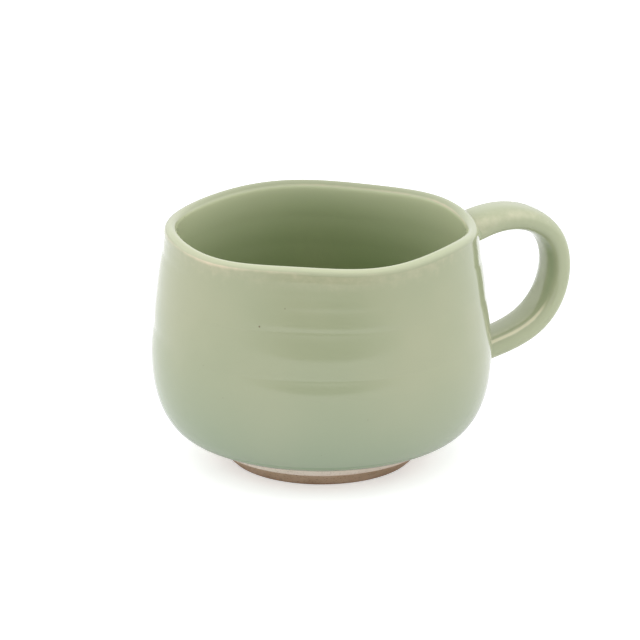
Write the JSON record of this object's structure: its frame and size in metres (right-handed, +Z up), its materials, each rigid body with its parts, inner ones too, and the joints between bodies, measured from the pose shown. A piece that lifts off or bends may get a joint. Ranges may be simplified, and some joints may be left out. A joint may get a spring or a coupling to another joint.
{
  "type": "ceramic mug",
  "caption": "Hand-thrown stoneware mug with a rounded belly, softly rippled rim, pulled strap handle, sage glaze and bare turned foot.",
  "frame": {"origin": "middle of the flat foot, on the axis the mug was thrown about", "axes": "+Z up along the axis, +X from the axis towards the handle"},
  "size_m": [0.1316, 0.102, 0.0733],
  "materials": {
    "stoneware": "fired stoneware under the glaze, matte",
    "bare_clay": "bare toasted clay, matte and slightly gritty",
    "body_glaze": "glossy sage glaze, thin and paler over edges, pooled and greener at its lower line",
    "liner_glaze": "glossy sage glaze with a few iron specks",
    "handle_glaze": "glossy sage glaze, paler on the strap's rounded edges",
    "joint_glaze": "glossy sage glaze pooled in the corner",
    "pale_wash": "pale wiped band, dry and matte"
  },
  "bodies": {
    "root": {"clay_body": "stoneware", "foot_ring": "bare_clay", "handle": "stoneware", "upper_joint": "joint_glaze", "lower_joint": "joint_glaze", "outer_glaze": "body_glaze", "liner_glaze": "liner_glaze", "handle_glaze": "handle_glaze", "foot_wash": "pale_wash"}
  },
  "joints": []
}
